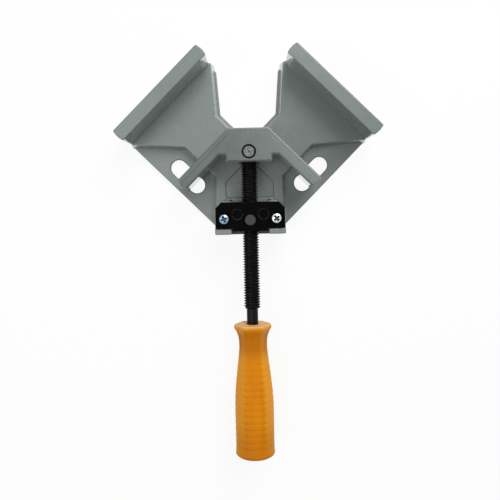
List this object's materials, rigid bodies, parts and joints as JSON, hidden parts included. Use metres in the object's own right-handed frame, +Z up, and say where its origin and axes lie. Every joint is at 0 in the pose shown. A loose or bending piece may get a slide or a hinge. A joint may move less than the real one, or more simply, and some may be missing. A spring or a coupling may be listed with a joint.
{
  "type": "corner clamp",
  "caption": "Right-angle corner clamp: a cast body with two fences, and a swinging jaw driven by a screw with a plastic handle.",
  "frame": {"origin": "on the bench plane, under the axis that the screw's nut swivels on", "axes": "+Y runs along the screw towards the corner where the fences would meet, +Z is up from the bench, +X is right when the handle points at the user"},
  "size_m": [0.2008, 0.3136, 0.045],
  "materials": {
    "casting": "glossy grey-green paint over a die casting",
    "nut_zinc": "dull grey",
    "pin_steel": "turned",
    "black_steel": "black oxide",
    "cover_black": "black paint",
    "plated_steel": "bright zinc plate",
    "handle_orange": "satin, moulded in colour"
  },
  "bodies": {
    "frame": {"clamp_body": "casting", "nut_cover": "cover_black", "cover_screw_left": "plated_steel", "cover_screw_right": "plated_steel"},
    "nut": {"swivel_nut": "nut_zinc"},
    "carrier": {"jaw_pivot_pin": "pin_steel", "pivot_retaining_ring": "black_steel"},
    "spindle": {"clamp_screw": "black_steel", "handle": "handle_orange", "spindle_clip": "black_steel"},
    "jaw": {"swing_jaw": "casting"}
  },
  "joints": [
    {"name": "nut_swivel", "type": "hinge", "parent": "frame", "child": "nut", "pos_m": [0, 0, 0.024], "axis": [0, 0, 1], "range_deg": [-6, 6]},
    {"name": "screw_feed", "type": "slide", "parent": "nut", "child": "carrier", "axis": [0, 1, 0], "range_m": [-0.022, 0.055]},
    {"name": "spindle_spin", "type": "hinge", "parent": "carrier", "child": "spindle", "pos_m": [0, 0, 0.024], "axis": [0, 1, 0], "range_deg": [-3960.5, 9900.5]},
    {"name": "jaw_swing", "type": "hinge", "parent": "carrier", "child": "jaw", "pos_m": [0, 0.0513, 0.024], "axis": [0, 0, 1], "range_deg": [-7, 7]}
  ],
  "couplings": [
    {"joint": "spindle_spin", "follows": "screw_feed", "rad_per_m": 3141.6}
  ]
}
